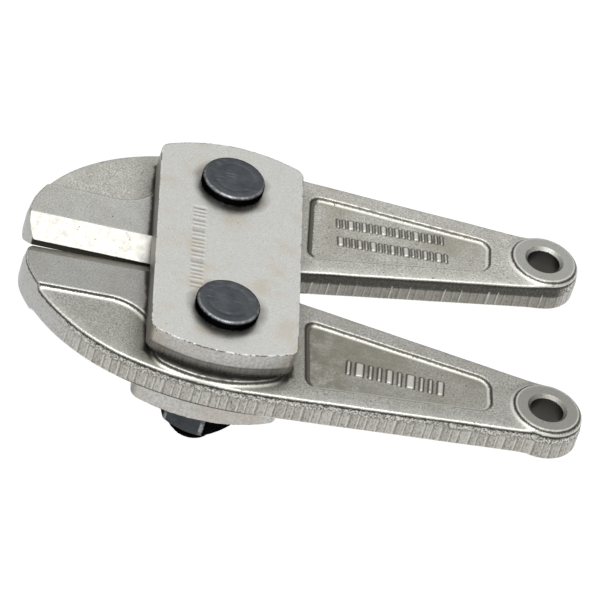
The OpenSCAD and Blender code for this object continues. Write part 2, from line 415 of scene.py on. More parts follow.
def contour(field, lo, hi, step):
    """Closed mesh of the surface where field is 0, by dual contouring, which keeps sharp edges."""
    axes = [np.arange(lo[k], hi[k] + step, step) for k in range(3)]
    values = field(axes[0][:, None, None], axes[1][None, :, None], axes[2][None, None, :])
    shape = np.array(values.shape)
    points, quads, rising = [], [], []
    for axis in range(3):
        index, crossing, inside = edge_crossings(field, axes, values, axis, step)
        u, v = (axis + 1) % 3, (axis + 2) % 3
        around = []
        for du, dv in ((0, 0), (1, 0), (1, 1), (0, 1)):
            cell = index.copy()
            cell[:, u] -= du
            cell[:, v] -= dv
            around.append(np.ravel_multi_index(cell.T, shape, mode="clip"))
        quads.append(np.stack(around, axis=1))
        points.append(crossing)
        rising.append(inside)
    points = np.concatenate(points)
    quads = np.concatenate(quads)
    rising = np.concatenate(rising)
    normals = surface_normals(field, points)
    number = np.unique(quads, return_inverse=True)[1]
    number = number.reshape(quads.shape)
    who = number.ravel()
    p = np.repeat(points, 4, axis=0)
    n = np.repeat(normals, 4, axis=0)
    count = np.bincount(who)
    centre = np.stack([np.bincount(who, p[:, k]) for k in range(3)], axis=1) / count[:, None]
    along = np.einsum("ij,ij->i", n, p - centre[who])
    lhs = np.stack([[np.bincount(who, n[:, r] * n[:, c]) for c in range(3)] for r in range(3)])
    lhs = np.moveaxis(lhs, -1, 0) + 0.05 * np.eye(3)
    rhs = np.stack([np.bincount(who, n[:, k] * along) for k in range(3)], axis=1)
    move = np.linalg.solve(lhs, rhs[..., None])[..., 0]
    vertices = centre + np.clip(move, -0.8 * step, 0.8 * step)
    quads = np.where(rising[:, None], number, number[:, ::-1])
    return vertices, quads


def new_object(name, mesh):
    obj = bpy.data.objects.new(name, mesh)
    bpy.context.scene.collection.objects.link(obj)
    return obj


def make_mesh(name, vertices, faces):
    mesh = bpy.data.meshes.new(name)
    mesh.from_pydata(vertices.tolist(), [], faces)
    mesh.validate()
    return mesh


def thinned(mesh, faces):
    """The mesh with its flat areas simplified to about the given number of triangles."""
    triangles = sum(len(p.vertices) - 2 for p in mesh.polygons)
    if triangles <= faces:
        return mesh
    helper = new_object("helper", mesh)
    cut = helper.modifiers.new("thin", "DECIMATE")
    cut.ratio = faces / triangles
    thin = helper.evaluated_get(bpy.context.evaluated_depsgraph_get())
    result = bpy.data.meshes.new_from_object(thin)
    bpy.data.objects.remove(helper)
    return result


def mesh_points(mesh):
    co = np.empty(len(mesh.vertices) * 3)
    mesh.vertices.foreach_get("co", co)
    return co.reshape(-1, 3)


def set_points(mesh, points):
    mesh.vertices.foreach_set("co", points.astype(np.float32).ravel())
    mesh.update()


def store(mesh, **values):
    for name, value in values.items():
        layer = mesh.attributes.new(name, "FLOAT", "POINT")
        layer.data.foreach_set("value", np.broadcast_to(value, len(mesh.vertices)).astype(np.float32))


def smooth(mesh, angle=32):
    mesh.shade_smooth()
    mesh.set_sharp_from_angle(angle=math.radians(angle))


def flattened(obj):
    """Keeps large flat faces flat in shading, next to the small faces of rounded edges."""
    weighted = obj.modifiers.new("weighted", "WEIGHTED_NORMAL")
    weighted.keep_sharp = True
    weighted.weight = 100
    return obj


# ---------------------------------------------------------------- pieces
def rest_position(points, side):
    """Closed-jaw points carried to the rest pose of the upper or the lower jaw."""
    c, s = unit(-REST_OPEN)
    x, y = points[:, 0], points[:, 1] - PIVOT_Y
    placed = np.stack((c * x - s * y + PIVOT_X, s * x + c * y + PIVOT_Y, points[:, 2] + MID_Z), axis=1)
    return placed if side == "upper" else placed * [1, -1, 1]


def jaw(side):
    field = jaw_field(side)
    vertices, quads = contour(field, JAW_GRID_LO, JAW_GRID_HI, JAW_STEP)
    if side == "lower":
        quads = quads[:, ::-1]
    mesh = thinned(make_mesh(side + "_jaw_forging", vertices, quads.tolist()), JAW_FACES)
    points = mesh_points(mesh)
    x, y, z = points.T
    outline, along, front, back = look_up(field.maps, x, y)
    normal = surface_normals(field, points)
    flat = np.abs(normal[:, 2])
    wall = ramp(flat, 0.45, 0.25) * ramp(-outline, 3, 2)
    to_eye = np.hypot(x - EYE_C[0], y - EYE_C[1])
    to_pivot = np.hypot(x, y - PIVOT_Y)
    bored = (np.minimum(to_eye - BORE_R, to_pivot - PIVOT_BORE_R) < 0.1) & (flat < 0.3)
    store(
        mesh,
        rim=np.clip(outline, -8, 2),
        raised=np.clip(np.minimum(raised_distance(x, y), to_eye - RING_R), -8, 8),
        panel=np.clip(polygon_distance(x, y, PANEL, PANEL_R), -8, 8),
        mark=np.clip(bars_distance(x, y, JAW_MARKS[side]), -2, 4) + 4 * (z < 0),
        px=x,
        py=y,
        reach=y + 20 * ramp(x, BLADE_END_X - 0.2, BLADE_END_X + 0.2),
        along=along,
        face=np.where(z > 0, front, back),
        wall=wall,
        bars=ramp(x, BARS_START, BARS_FULL),
        # inner: flanks facing the other arm, which the material paints darker as shade
        inner=ramp(-normal[:, 1], 0.7, 0.9) * ramp(x, 5, 15),
        # hollow: the bore walls, which the material paints dark as shade
        hollow=bored.astype(float),
    )
    set_points(mesh, rest_position(points, side) * MM)
    smooth(mesh)
    return flattened(new_object(side + "_jaw_forging", mesh))


def side_plate(name, front):
    field = plate_field(front)
    reach = np.array([PLATE_HALF_W + 1, PLATE_R + 1])
    vertices, quads = contour(field, (*-reach, -0.7), (*reach, PLATE_T + 0.7), PLATE_STEP)
    if not front:
        quads = quads[:, ::-1]
    mesh = thinned(make_mesh(name, vertices, quads.tolist()), PLATE_FACES)
    points = mesh_points(mesh)
    x, y, z = points.T
    normal = surface_normals(field, points)
    outline = round_max(np.abs(x) - PLATE_HALF_W, np.hypot(x, y) - PLATE_R, PLATE_CORNER_R)
    to_head = np.hypot(x, np.abs(y) - PIVOT_Y) - HEAD_R
    store(
        mesh,
        rim=np.clip(outline, -6, 1),
        head=np.clip(to_head, -3, 8) if front else 8.0,
        wall=ramp(np.abs(normal[:, 2]), 0.75, 0.5),
        torn=ramp(z, PLATE_T * 0.40, PLATE_T * 0.34) if front else 0.0,
        depth=z,
        curved=ramp(np.abs(y), 30, 36),
        shaded=ramp(-normal[:, 0], 0.6, 0.9),
        mark=np.clip(bars_distance(y, PLATE_MARK_X - x, PLATE_MARKS), -1, 3) if front else 3.0,
    )
    z = points[:, 2] + FRONT_LO[2] if front else REAR_HI[2] - points[:, 2]
    placed = np.stack((points[:, 0] + PIVOT_X, points[:, 1], z), axis=1)
    set_points(mesh, placed * MM)
    smooth(mesh)
    return flattened(new_object(name, mesh))


def revolve(name, profile, section, start_angle, sides=192):
    """Closed mesh turned about z from a loop of (radius, z), or a line with ends at radius 0."""
    angles = start_angle + np.arange(sides) * 360 / sides
    open_ends = profile[0][0] == 0
    vertices, rings = [], []
    for radius, z in profile:
        if radius == 0:
            rings.append([len(vertices)] * sides)
            vertices.append((0, 0, z))
            continue
        rings.append(list(range(len(vertices), len(vertices) + sides)))
        for a in angles:
            r = section(a, radius, z)
            vertices.append((r * math.cos(math.radians(a)), r * math.sin(math.radians(a)), z))
    faces = []
    pairs = list(zip(rings, rings[1:])) if open_ends else list(zip(rings, rings[1:] + rings[:1]))
    for low, high in pairs:
        for i in range(sides):
            j = (i + 1) % sides
            face = [low[i], low[j], high[j], high[i]]
            faces.append(list(dict.fromkeys(face)))
    return np.array(vertices, float), faces


def worn(vertices, amount, seed):
    """Tiny unevenness, so that edges and flats aren't perfect."""
    x, y, z = (vertices + seed * 3.7).T
    ripple = np.sin(1.9 * x + 1.3 * np.sin(1.1 * y)) + np.sin(2.3 * y + 1.7 * np.sin(1.3 * z))
    ripple = ripple + np.sin(1.7 * z + x)
    size = np.hypot(vertices[:, 0], vertices[:, 1])[:, None]
    out = np.where(size > 0, vertices * [1, 1, 0] / np.maximum(size, 1e-6), 0)
    return vertices - out * amount * (1 + ripple[:, None] / 3)


def thread_radius(angle, z):
    phase = (z / THREAD_PITCH - angle / 360) % 1
    root = np.clip((abs(2 * phase - 1) - 0.15) / 0.7, 0, 1)
    return BOLT_R - 0.08 - THREAD_DEPTH * (1 - root)


def pivot_bolt(side, sign, seed):
    """Round-headed bolt: a threaded end, a shank, a neck with a flat and a head with a rolled edge."""
    length = BOLT_HI[2] - BOLT_LO[2]
    neck = FRONT_LO[2] - BOLT_LO[2]
    head = FRONT_HI[2] - BOLT_LO[2]
    profile = [(0, 0), (3, 0), (5.4, 0)]
    profile += [(BOLT_R, z) for z in np.arange(0.05, THREAD_END, 0.12)]
    profile += [(BOLT_R, z) for z in np.linspace(THREAD_END + 0.5, neck - 0.01, 6)]
    profile += [(BOLT_R, neck), (BOLT_R, head - 0.01)]
    profile += [(HEAD_R - 0.45, head), (HEAD_R - 0.2, head + 0.12), (HEAD_R - 0.08, head + 0.45)]
    profile += [(HEAD_R - 0.12, head + 0.62), (HEAD_R - 0.02, head + 0.8), (HEAD_R, head + 1.2)]
    edge = HEAD_R - HEAD_EDGE_R
    for a in range(0, 91, 10):
        r, h = HEAD_EDGE_R * unit(a)
        profile.append((edge + r, length - HEAD_EDGE_R + h))
    profile += [(7.4, length - 0.02), (6.5, length - 0.02), (6.2, length - 0.1), (5.9, length - 0.06)]
    profile += [(4, length - 0.05), (2, length - 0.05), (0, length - 0.05)]

    def section(angle, radius, z):
        if z <= THREAD_END and radius == BOLT_R:
            return min(thread_radius(angle, z), BOLT_R - 1 + z)
        if radius == BOLT_R and neck <= z < head:
            down = -math.sin(math.radians(angle)) * sign
            return min(radius, NECK_FLAT / down) if down > 0 else radius
        return radius

    vertices, faces = revolve(side, profile, section, 0)
    bend = ramp(np.hypot(vertices[:, 0], vertices[:, 1]), edge, HEAD_R)
    vertices = np.where(vertices[:, 2:] > head + 0.3, worn(vertices, 0.035, seed), vertices)
    # The top of the head is worn lighter
    rubbed = ramp(vertices[:, 2], length - 0.7, length - 0.15)
    placed = vertices + [PIVOT_X, sign * PIVOT_Y, BOLT_LO[2]]
    mesh = make_mesh(side + "_bolt_body", placed * MM, faces)
    store(mesh, bend=bend, rubbed=rubbed)
    smooth(mesh, 40)
    return new_object(side + "_bolt_body", mesh)


def pivot_nut(side, sign, seed):
    """Hexagon nut with its corners turned back by a cone at both faces, and a countersunk thread."""
    height = NUT_HI[2] - NUT_LO[2]
    turn = NUT_TURN[side] * sign
    corner = NUT_FLAT / math.cos(math.radians(30))
    cone = math.tan(math.radians(30))
    levels = [0, 0.05] + list(np.linspace(0.12, 1.3, 11)) + list(np.linspace(2, height / 2, 4))
    levels += [height - z for z in reversed(levels[:-1])]
    profile = [(7.8, 0.0), (9, 0.0)] + [(corner, z) for z in levels] + [(9, height), (7.8, height)]
    profile += [(BOLT_R + 0.03, height - 0.8), (BOLT_R + 0.03, 0.8)]

    def section(angle, radius, z):
        if radius != corner:
            return radius
        flat = NUT_FLAT / math.cos(math.radians((angle - turn) % 60 - 30))
        return min(flat, corner - 0.22, NUT_FACE_R + min(z, height - z) / cone)

    vertices, faces = revolve(side, profile, section, turn)
    size = np.hypot(vertices[:, 0], vertices[:, 1])
    bend = 0.6 * ramp(size, NUT_FLAT + 1.1, corner - 0.25)
    around = np.degrees(np.arctan2(vertices[:, 1], vertices[:, 0]))
    face = np.floor((around - turn) % 360 / 60).astype(int)
    # Each face of the nut gets its own lightness: painted light and shade
    rubbed = np.where(size > 8, np.array(NUT_FACE_LIGHT)[np.clip(face, 0, 5)], 0.1)
    vertices = np.where(size[:, None] > 8, worn(vertices, 0.03, seed), vertices)
    placed = vertices + [PIVOT_X, sign * PIVOT_Y, NUT_LO[2]]
    mesh = make_mesh(side + "_nut_body", placed * MM, faces)
    store(mesh, bend=bend, rubbed=rubbed)
    smooth(mesh, 25)
    return new_object(side + "_nut_body", mesh)


# ---------------------------------------------------------------- materials
class Shader:
    """Short calls that add nodes to one material."""

    def __init__(self, name):
        self.material = bpy.data.materials.new(name)
        self.material.use_nodes = True
        self.tree = self.material.node_tree
        self.surface = self.tree.nodes["Principled BSDF"]
        self.place = self.add("ShaderNodeTexCoord").outputs["Object"]

    def add(self, kind, **settings):
        node = self.tree.nodes.new(kind)
        for key, value in settings.items():
            setattr(node, key, value)
        return node

    def plug(self, socket, value):
        if isinstance(value, bpy.types.NodeSocket):
            self.tree.links.new(value, socket)
        elif isinstance(value, tuple):
            socket.default_value = (*value, 1)[: len(socket.default_value)]
        else:
            socket.default_value = value

    def attribute(self, name):
        return self.add("ShaderNodeAttribute", attribute_name=name).outputs["Fac"]

    def noise(self, size, detail=3, roughness=0.55, stretch=(1, 1, 1), shift=0):
        """Noise whose blobs are about size millimetres across."""
        mapping = self.add("ShaderNodeMapping")
        self.plug(mapping.inputs["Vector"], self.place)
        self.plug(mapping.inputs["Scale"], tuple(s / (size * MM) for s in stretch))
        self.plug(mapping.inputs["Location"], (shift, shift * 0.7, shift * 1.3))
        node = self.add("ShaderNodeTexNoise")
        self.plug(node.inputs["Vector"], mapping.outputs["Vector"])
        self.plug(node.inputs["Scale"], 1.0)
        self.plug(node.inputs["Detail"], detail)
        self.plug(node.inputs["Roughness"], roughness)
        return node.outputs["Fac"]

    def ramp(self, value, low, high, to_low=0.0, to_high=1.0):
        node = self.add("ShaderNodeMapRange")
        self.plug(node.inputs["Value"], value)
        limits = {"From Min": low, "From Max": high, "To Min": to_low, "To Max": to_high}
        for socket, limit in limits.items():
            self.plug(node.inputs[socket], limit)
        return node.outputs["Result"]

    def band(self, value, start, full, last, end):
        """0 outside start to end, 1 between full and last."""
        return self.times(self.ramp(value, start, full), self.ramp(value, end, last))

    def times(self, *factors):
        result = factors[0]
        for factor in factors[1:]:
            result = self.maths("MULTIPLY", result, factor)
        return result

    def plus(self, a, b):
        return self.maths("ADD", a, b)

    def less(self, a, b):
        return self.maths("SUBTRACT", a, b)

    def height(self, level):
        """Millimetres above or below a level plane."""
        split = self.add("ShaderNodeSeparateXYZ")
        self.plug(split.inputs[0], self.place)
        return self.less(self.maths("DIVIDE", split.outputs["Z"], MM), level)

    def maths(self, operation, a, b=0.0):
        node = self.add("ShaderNodeMath", operation=operation)
        self.plug(node.inputs[0], a)
        self.plug(node.inputs[1], b)
        return node.outputs[0]

    def mix(self, share, a, b):
        node = self.add("ShaderNodeMix", data_type="RGBA")
        self.plug(node.inputs["Factor"], share)
        self.plug(node.inputs[6], a)
        self.plug(node.inputs[7], b)
        return node.outputs[2]

    def blend(self, share, a, b):
        node = self.add("ShaderNodeMix", data_type="FLOAT")
        self.plug(node.inputs["Factor"], share)
        self.plug(node.inputs[2], a)
        self.plug(node.inputs[3], b)
        return node.outputs[0]

    def bump(self, height, strength, distance, normal=None):
        node = self.add("ShaderNodeBump")
        self.plug(node.inputs["Height"], height)
        self.plug(node.inputs["Strength"], strength)
        self.plug(node.inputs["Distance"], distance * MM)
        if normal is not None:
            self.plug(node.inputs["Normal"], normal)
        return node.outputs["Normal"]

    def finish(self, colour, roughness, normal=None, metallic=1.0):
        self.plug(self.surface.inputs["Base Color"], colour)
        self.plug(self.surface.inputs["Roughness"], roughness)
        self.plug(self.surface.inputs["Metallic"], metallic)
        if normal is not None:
            self.plug(self.surface.inputs["Normal"], normal)
        return self.material


def flank_colour(s, grain, height, below):
    """Sheared flank: speckled above, upright trimming bars below, painted shade in a dark line just
    under the rim and on the inner flanks.
    """
    rough = s.mix(s.ramp(grain, 0.38, 0.60), (0.11, 0.10, 0.085), (0.76, 0.75, 0.70))
    torn = s.noise(0.6, 3, 0.7, stretch=(1, 1, 0.35), shift=35)
    rough = s.mix(s.ramp(torn, 0.56, 0.66, 0, 0.7), rough, (0.10, 0.09, 0.075))
    smooth_nose = s.mix(s.ramp(grain, 0.3, 0.7), (0.36, 0.36, 0.35), (0.54, 0.54, 0.52))

    along = s.attribute("along")
    sway = s.times(s.maths("SINE", s.times(along, BAR_SWAY_RATE)), BAR_SWAY)
    phase = s.plus(s.times(along, 1 / BAR_PITCH), sway)
    chance = s.add("ShaderNodeTexWhiteNoise", noise_dimensions="1D")
    s.plug(chance.inputs["W"], s.maths("FLOOR", phase))
    part = s.maths("FRACT", phase)
    ridge = s.maths("MAXIMUM", s.ramp(part, 0.10, 0.02), s.ramp(part, 0.90, 0.98))
    groove = s.band(part, 0.08, 0.14, 0.2, 0.32)
    bars = s.mix(chance.outputs["Value"], (0.31, 0.295, 0.265), (0.45, 0.44, 0.41))
    streaks = s.noise(0.45, 4, 0.7, stretch=(1, 1, 0.4), shift=2)
    bars = s.mix(s.ramp(streaks, 0.38, 0.62, 0, 0.6), bars, (0.60, 0.585, 0.54))
    bars = s.mix(s.ramp(streaks, 0.46, 0.36, 0, 0.7), bars, (0.18, 0.165, 0.135))
    bars = s.mix(s.times(groove, 0.55), bars, (0.17, 0.155, 0.13))
    bars = s.mix(s.times(ridge, s.ramp(streaks, 0.3, 0.6, 0.3, 0.7)), bars, (0.68, 0.67, 0.63))

    ragged = s.plus(height, s.ramp(s.noise(1.6, 3, 0.6, shift=15), 0.25, 0.75, -0.9, 0.9))
    trim = s.times(s.ramp(ragged, TRIM_TOP + 0.2, TRIM_TOP - 0.2), s.attribute("bars"))
    trim = s.times(trim, s.ramp(height, TRIM_BOTTOM - 0.3, TRIM_BOTTOM))
    above = s.mix(s.attribute("bars"), smooth_nose, rough)
    colour = s.mix(trim, above, bars)
    scar = s.band(ragged, TRIM_TOP - 0.35, TRIM_TOP - 0.1, TRIM_TOP + 0.1, TRIM_TOP + 0.35)
    colour = s.mix(s.times(scar, s.attribute("bars"), 0.45), colour, (0.17, 0.155, 0.13))
    # Painted shade: a dark line just under the rim, wavy along its length
    wavy = s.plus(below, s.ramp(s.noise(0.9, 2, 0.6, shift=25), 0.3, 0.7, -0.3, 0.3))
    line = s.band(wavy, 0.2, 0.4, 0.95, 1.45)
    colour = s.mix(s.times(line, 0.93), colour, (0.035, 0.032, 0.026))
    # The inner flanks between the arms are painted darker as shade, darkest on their upper part
    inner = s.attribute("inner")
    shaded = s.ramp(s.plus(height, s.ramp(grain, 0.3, 0.7, -0.25, 0.25)), 0.2, 0.6)
    colour = s.mix(s.times(inner, 0.55), colour, (0.15, 0.14, 0.12))
    return s.mix(s.times(inner, shaded, 0.8), colour, (0.045, 0.042, 0.035))


# Lighter and darker tone of the ground bevels
BEVEL_TONES = {
    "upper": ((0.37, 0.365, 0.345), (0.32, 0.312, 0.29)),
    "lower": ((0.46, 0.44, 0.38), (0.31, 0.29, 0.235)),
}


def jaw_steel(side, tone):
    """Forged steel: grainy web, smoother pads, a ground bevel, sheared flanks, painted shade and
    highlights at the steps, rim, marks, bores and along the plates.
    """
    s = Shader(side + "_forged_steel")
    grain = s.noise(0.55, 3, 0.75)
    fine = s.noise(0.3, 2, 0.6, shift=4)
    mottle = s.noise(5, 4, 0.6, shift=9)
    stain = s.noise(22, 3, 0.5, shift=17)
    raised, panel, rim = s.attribute("raised"), s.attribute("panel"), s.attribute("rim")
    wall, reach = s.attribute("wall"), s.attribute("reach")
    px, py = s.attribute("px"), s.attribute("py")
    span = s.maths("SQRT", s.plus(s.times(px, px), s.times(py, py)))
    covered = s.maths("MAXIMUM", s.less(s.maths("ABSOLUTE", px), PLATE_HALF_W), s.less(span, PLATE_R))
    height = s.height(MID_Z)
    below = s.less(s.attribute("face"), height)

    def shade(r, g, b):
        return (r * tone, g * tone, b * tone)

    polish = s.ramp(raised, 0.1, -0.1)
    web = s.mix(s.ramp(grain, 0.35, 0.65), shade(0.29, 0.285, 0.255), shade(0.78, 0.775, 0.73))
    web = s.mix(s.ramp(rim, -4.5, -1.0, 0, 0.35), web, shade(0.78, 0.775, 0.72))
    web = s.mix(s.ramp(mottle, 0.35, 0.7, 0, 0.45), web, shade(0.42, 0.405, 0.35))
    smoothed = s.mix(s.ramp(grain, 0.36, 0.64), shade(0.38, 0.38, 0.36), shade(0.67, 0.67, 0.64))
    smoothed = s.mix(s.ramp(mottle, 0.45, 0.7, 0, 0.3), smoothed, shade(0.36, 0.36, 0.34))
    smoothed = s.mix(s.ramp(fine, 0.58, 0.7, 0, 0.35), smoothed, shade(0.30, 0.295, 0.27))
    smoothed = s.mix(s.ramp(px, 80, 81, 0, 0.6), smoothed, shade(0.34, 0.34, 0.315))
    colour = s.mix(polish, web, smoothed)
    colour = s.mix(s.ramp(stain, 0.5, 0.72, 0, 0.35), colour, shade(0.40, 0.37, 0.30))
    inside_panel = s.ramp(panel, -0.6, -1.4)
    if side == "lower":
        # Inside the lower jaw's panel: darker towards its left end, broken up by mottling
        panel_left_darkening = s.times(inside_panel, s.ramp(px, 62, 30), s.ramp(mottle, 0.38, 0.58, 0.15, 0.95))
        colour = s.mix(panel_left_darkening, colour, shade(0.28, 0.265, 0.215))
    stained = s.times(inside_panel, s.ramp(stain, 0.42, 0.62, 0.1, 0.55))
    colour = s.mix(stained, colour, shade(0.30, 0.28, 0.22))

    wavy = s.ramp(grain, 0.3, 0.7, -0.15, 0.15)
    # Steps up to the raised areas: a painted highlight on the concave fillet, painted shade on the
    # steep upper part of the wall, and a lighter line just inside the raised edge
    step = s.plus(raised, wavy)
    fillet = s.band(step, 0.35, 0.6, 1.0, 1.6)
    colour = s.mix(s.times(fillet, 0.6), colour, (0.80, 0.79, 0.73))
    colour = s.mix(s.times(s.band(step, -0.15, 0.05, 0.3, 0.6), 0.9), colour, (0.055, 0.05, 0.04))
    colour = s.mix(s.times(s.band(step, -0.8, -0.55, -0.3, -0.15), 0.5), colour, (0.84, 0.835, 0.79))
    # Panel walls: a painted highlight on the fillet at the floor, painted shade on the steep top of the
    # wall and on the left wall
    dip = s.less(wavy, panel)
    colour = s.mix(s.times(s.band(dip, 0.4, 0.7, 1.1, 1.6), 0.6), colour, (0.84, 0.825, 0.76))
    colour = s.mix(s.times(s.band(dip, -0.1, 0.1, 0.4, 0.8), 0.8), colour, (0.07, 0.065, 0.05))
    left_wall_shade = s.times(s.band(dip, -0.1, 0.1, 1.5, 1.9), s.ramp(px, 29.2, 28.2))
    colour = s.mix(s.times(left_wall_shade, 0.9), colour, (0.075, 0.07, 0.055))
    mark = s.attribute("mark")
    # Raised marks: painted shade round their walls, and lighter tops
    colour = s.mix(s.times(s.band(mark, -0.25, 0.05, 0.25, 0.55), 0.75), colour, (0.08, 0.075, 0.06))
    colour = s.mix(s.ramp(mark, -0.1, -0.35, 0, 0.6), colour, (0.72, 0.71, 0.66))
    # Painted highlight along the rounded rim, broken up by the grain
    on_rim = s.band(s.plus(rim, wavy), -1.0, -0.75, -0.2, 0.1)
    rim_highlight = s.times(on_rim, s.ramp(grain, 0.25, 0.5, 0.5, 1))
    colour = s.mix(rim_highlight, colour, (0.86, 0.845, 0.79))

    near = s.plus(covered, s.ramp(mottle, 0.3, 0.7, -0.4, 0.4))
    # The web darkens towards the plates' edges, broken up by mottling
    darker_near_plate = s.times(s.ramp(near, 7.0, 0.0), s.less(1.0, polish), 0.5)
    colour = s.mix(darker_near_plate, colour, (0.15, 0.14, 0.11))
    # Painted shade: a near-black strip just outside the plates' edges, wider along the curved edge
    arc_side = s.ramp(s.less(s.maths("ABSOLUTE", px), PLATE_HALF_W), 0.0, -1.5)
    shade_by_plate = s.ramp(near, s.blend(arc_side, 1.1, 3.2), s.blend(arc_side, 0.2, 1.0))
    colour = s.mix(s.times(shade_by_plate, 0.93), colour, (0.035, 0.032, 0.026))

    scrape = s.noise(2.2, 4, 0.65, stretch=(1, 0.6, 1), shift=5)
    bevel = s.mix(s.ramp(scrape, 0.35, 0.7), BEVEL_TONES[side][0], BEVEL_TONES[side][1])
    bevel = s.mix(s.ramp(grain, 0.35, 0.6, 0.4, 0), bevel, (0.25, 0.235, 0.20))
    bevel = s.mix(s.ramp(fine, 0.66, 0.74, 0, 0.5), bevel, (0.13, 0.115, 0.085))
    ground = s.ramp(reach, BEVEL_W + 0.05, BEVEL_W - 0.1)
    colour = s.mix(ground, colour, bevel)
    colour = s.mix(wall, colour, flank_colour(s, grain, height, below))
    # Painted shadow: a dark line along the lower rim where the jaw lies over the rear plate
    underside = s.ramp(s.plus(height, s.attribute("face")), 0.85, 0.6)
    shade_over_rear_plate = s.times(underside, s.ramp(covered, 7.0, 5.5), s.ramp(rim, -1.6, -1.0))
    colour = s.mix(s.times(shade_over_rear_plate, 0.85), colour, (0.05, 0.047, 0.04))
    # Painted shade on the land of the cutting edge, where the jaws meet
    shade_at_edge_gap = s.times(wall, s.ramp(py, 0.9, 0.5), s.ramp(px, BLADE_END_X + 0.2, BLADE_END_X - 0.2))
    colour = s.mix(shade_at_edge_gap, colour, (0.035, 0.033, 0.027))
    # Painted shade inside the bores
    colour = s.mix(s.attribute("hollow"), colour, (0.06, 0.058, 0.052))
    speck = s.noise(0.9, 1, 0.5, shift=31)
    colour = s.mix(s.ramp(speck, 0.72, 0.78, 0, 0.8), colour, (0.06, 0.05, 0.045))

    rough = s.blend(polish, s.ramp(grain, 0.2, 0.8, 0.36, 0.5), s.ramp(mottle, 0.3, 0.7, 0.34, 0.44))
    rough = s.blend(ground, rough, s.ramp(scrape, 0.3, 0.8, 0.28, 0.45))
    rough = s.blend(wall, rough, 0.5)
    pebble = s.bump(grain, s.blend(polish, 0.6, 0.25), 0.08)
    normal = s.bump(fine, s.blend(ground, 0.4, 0.1), 0.03, pebble)
    return s.finish(colour, rough, normal)


def plate_steel():
    """Satin plate: fine tumbled texture, faint brown stains, pits, nicked edges, a darker torn edge."""
    s = Shader("satin_plate_steel")
    fine = s.noise(0.35, 3, 0.6)
    cloud = s.noise(9, 3, 0.5, shift=3)
    stain = s.noise(14, 4, 0.55, shift=12)
    pits = s.noise(0.8, 1, 0.5, shift=21)
    chips = s.noise(2.2, 3, 0.6, shift=27)
    drawn = s.noise(0.45, 3, 0.6, stretch=(1, 1, 0.12), shift=8)
    wall, torn, rim = s.attribute("wall"), s.attribute("torn"), s.attribute("rim")
    depth = s.attribute("depth")

    colour = s.mix(s.ramp(fine, 0.34, 0.66), (0.55, 0.55, 0.52), (0.75, 0.75, 0.715))
    colour = s.mix(s.ramp(cloud, 0.3, 0.7, 0, 0.25), colour, (0.56, 0.56, 0.55))
    colour = s.mix(s.ramp(stain, 0.52, 0.68, 0, 0.6), colour, (0.58, 0.51, 0.40))
    scratch = s.noise(1.5, 2, 0.5, stretch=(3, 0.25, 1), shift=19)
    colour = s.mix(s.ramp(scratch, 0.70, 0.76, 0, 0.5), colour, (0.40, 0.39, 0.36))
    # A darker ring round each bolt head, broken up by noise
    dark_ring_round_heads = s.times(s.ramp(s.plus(s.attribute("head"), s.ramp(cloud, 0.3, 0.7, -1.2, 1.2)), 3.0, 0.2),
                     s.ramp(fine, 0.3, 0.6, 0.5, 1))
    colour = s.mix(s.times(dark_ring_round_heads, 0.75), colour, (0.13, 0.12, 0.10))
    side = s.mix(s.ramp(drawn, 0.3, 0.7), (0.50, 0.495, 0.475), (0.62, 0.615, 0.595))
    side = s.mix(s.ramp(pits, 0.35, 0.62, 0.6, 0), side, (0.33, 0.325, 0.31))
    side = s.mix(s.ramp(stain, 0.42, 0.62, 0, 0.55), side, (0.47, 0.42, 0.35))
    side = s.mix(s.times(s.attribute("shaded"), 0.75), side, (0.20, 0.185, 0.16))
    side = s.mix(torn, side, s.mix(s.ramp(drawn, 0.3, 0.7), (0.19, 0.18, 0.16), (0.36, 0.35, 0.325)))
    # Painted shadow along the curved sides' edge next to the jaws
    side = s.mix(s.times(s.ramp(depth, 0.55, 0.25), s.attribute("curved")), side, (0.03, 0.028, 0.024))
    colour = s.mix(wall, colour, side)
    # Painted highlight along the rounded edge of the flat faces, broken up by the chips noise
    edge = s.times(s.ramp(rim, -0.6, -0.25), s.less(1.0, wall))
    colour = s.mix(s.times(edge, s.ramp(chips, 0.4, 0.6, 0.0, 0.6)), colour, (0.84, 0.825, 0.79))
    nick = s.times(s.ramp(rim, -0.35, -0.1), s.ramp(depth, PLATE_T - 0.5, PLATE_T - 0.2))
    nick = s.times(nick, s.ramp(s.plus(chips, s.times(s.attribute("curved"), -0.12)), 0.42, 0.34))
    colour = s.mix(s.times(nick, 0.9), colour, (0.10, 0.095, 0.085))
    # Painted shade inside the engraved marks
    colour = s.mix(s.ramp(s.attribute("mark"), 0.1, -0.1, 0, 0.3), colour, (0.28, 0.27, 0.24))
    colour = s.mix(s.ramp(pits, 0.75, 0.8, 0, 0.8), colour, (0.08, 0.07, 0.06))
    rough = s.blend(wall, s.ramp(cloud, 0.3, 0.7, 0.34, 0.42), s.ramp(drawn, 0.3, 0.7, 0.4, 0.55))
    normal = s.bump(fine, 0.25, 0.03)
    normal = s.bump(pits, 0.15, 0.1, normal)
    return s.finish(colour, rough, normal)


